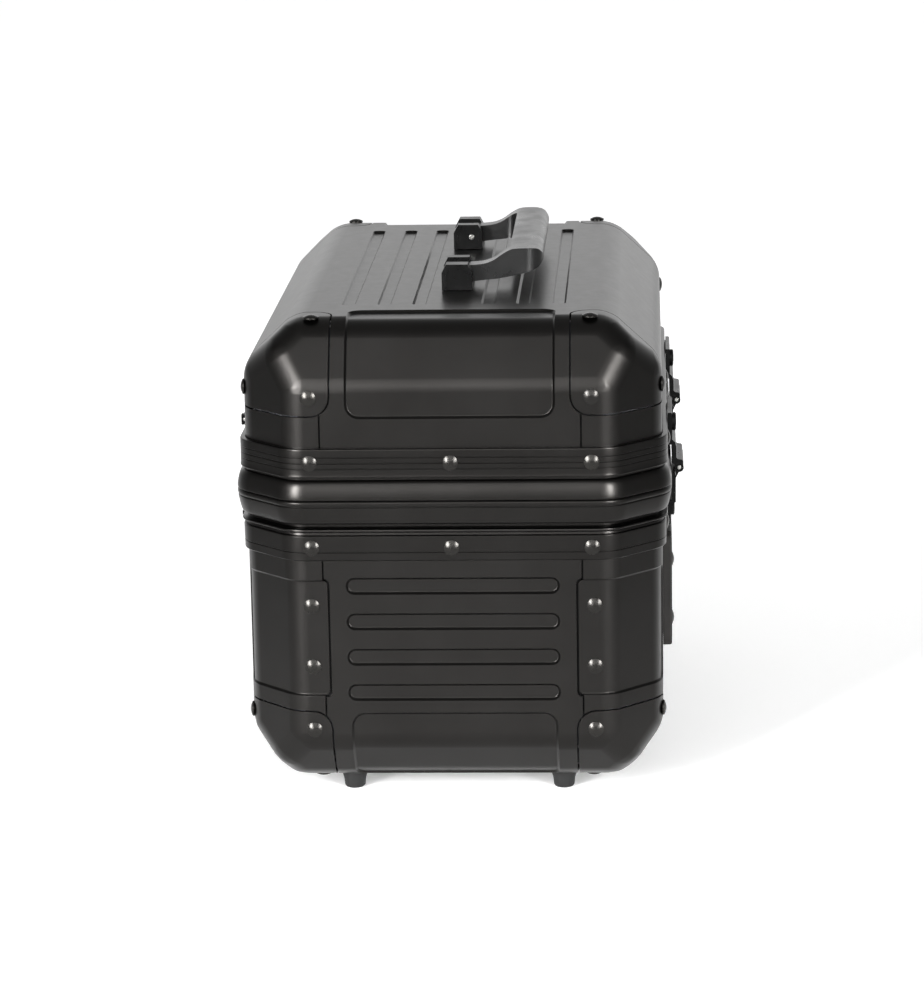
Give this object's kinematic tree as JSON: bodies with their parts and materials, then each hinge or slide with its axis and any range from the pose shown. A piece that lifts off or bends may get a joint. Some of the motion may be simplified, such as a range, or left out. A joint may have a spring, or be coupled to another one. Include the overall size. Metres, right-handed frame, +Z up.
{
  "type": "riveted aluminium beauty case",
  "caption": "Upright riveted aluminium case with chamfered corners, hinged lid, two hasp locks and a folding top handle.",
  "frame": {"origin": "on the ground, under the middle of the case", "axes": "+X along the length, -Y the front with the locks, +Y the rear with the hinges, +Z up"},
  "size_m": [0.37, 0.2446, 0.2835],
  "materials": {
    "anodised_aluminium": "matt black anodised sheet and extrusion",
    "painted_zinc": "satin black paint on zinc castings",
    "handle_plastic": "satin black moulding",
    "pin_steel": "plain steel",
    "inner_strip": "black inner strips and plates",
    "rubber": "black rubber",
    "lining_cloth": "black woven lining",
    "strap_leather": "black leather"
  },
  "bodies": {
    "case_body": {"body_wrap_sheet": "anodised_aluminium", "body_frame": "anodised_aluminium", "body_lining": "lining_cloth", "rear_strap": "strap_leather", "body_end_panel_left": "anodised_aluminium", "body_end_panel_right": "anodised_aluminium", "body_corner_cap_front_left": "anodised_aluminium", "body_corner_cap_front_right": "anodised_aluminium", "body_corner_cap_rear_left": "anodised_aluminium", "body_corner_cap_rear_right": "anodised_aluminium", "body_joint_strip_front_left": "inner_strip", "body_joint_strip_front_right": "inner_strip", "body_joint_strip_rear_left": "inner_strip", "body_joint_strip_rear_right": "inner_strip", "foot_front_left": "rubber", "foot_front_right": "rubber", "foot_rear_left": "rubber", "foot_rear_right": "rubber", "hinge_lower_leaf_left": "painted_zinc", "hinge_lower_leaf_right": "painted_zinc", "lock_body_left": "painted_zinc", "lock_body_right": "painted_zinc"},
    "lid": {"lid_skin": "anodised_aluminium", "lid_frame": "anodised_aluminium", "lid_seal": "rubber", "lid_lining": "lining_cloth", "lid_corner_cap_front_left": "anodised_aluminium", "lid_corner_cap_front_right": "anodised_aluminium", "lid_corner_cap_rear_left": "anodised_aluminium", "lid_corner_cap_rear_right": "anodised_aluminium", "lid_joint_strip_front_left": "inner_strip", "lid_joint_strip_front_right": "inner_strip", "lid_joint_strip_rear_left": "inner_strip", "lid_joint_strip_rear_right": "inner_strip", "handle_bracket_left": "handle_plastic", "handle_bracket_right": "handle_plastic", "handle_pin_left": "pin_steel", "handle_pin_right": "pin_steel", "handle_plate_left": "inner_strip", "handle_plate_right": "inner_strip", "hinge_upper_leaf_left": "painted_zinc", "hinge_upper_leaf_right": "painted_zinc", "hinge_pin_left": "pin_steel", "hinge_pin_right": "pin_steel", "hasp_plate_left": "painted_zinc", "hasp_plate_right": "painted_zinc", "hasp_pin_left": "pin_steel", "hasp_pin_right": "pin_steel"},
    "handle": {"handle": "handle_plastic"},
    "hasp_left": {"hasp_left": "painted_zinc"},
    "button_left": {"lock_button_left": "painted_zinc"},
    "key_left": {"lock_cylinder_left": "pin_steel"},
    "hasp_right": {"hasp_right": "painted_zinc"},
    "button_right": {"lock_button_right": "painted_zinc"},
    "key_right": {"lock_cylinder_right": "pin_steel"}
  },
  "joints": [
    {"name": "lid_hinge", "type": "hinge", "parent": "case_body", "child": "lid", "pos_m": [0, 0.1204, 0.1685], "axis": [-1, 0, 0], "range_deg": [0, 95]},
    {"name": "handle_fold", "type": "hinge", "parent": "lid", "child": "handle", "pos_m": [0, 0.002, 0.2694], "axis": [1, 0, 0], "range_deg": [0, 95]},
    {"name": "hasp_flip_left", "type": "hinge", "parent": "lid", "child": "hasp_left", "pos_m": [-0.07, -0.1179, 0.192], "axis": [-1, 0, 0], "range_deg": [0, 130]},
    {"name": "button_slide_left", "type": "slide", "parent": "case_body", "child": "button_left", "axis": [1, 0, 0], "range_m": [0, 0.005], "stiffness_N_per_m": 120, "springref_m": -0.002},
    {"name": "key_turn_left", "type": "hinge", "parent": "case_body", "child": "key_left", "pos_m": [-0.059, -0.116, 0.1225], "axis": [0, -1, 0], "range_deg": [0, 90]},
    {"name": "hasp_flip_right", "type": "hinge", "parent": "lid", "child": "hasp_right", "pos_m": [0.07, -0.1179, 0.192], "axis": [-1, 0, 0], "range_deg": [0, 130]},
    {"name": "button_slide_right", "type": "slide", "parent": "case_body", "child": "button_right", "axis": [1, 0, 0], "range_m": [0, 0.005], "stiffness_N_per_m": 120, "springref_m": -0.002},
    {"name": "key_turn_right", "type": "hinge", "parent": "case_body", "child": "key_right", "pos_m": [0.081, -0.116, 0.1225], "axis": [0, -1, 0], "range_deg": [0, 90]}
  ]
}
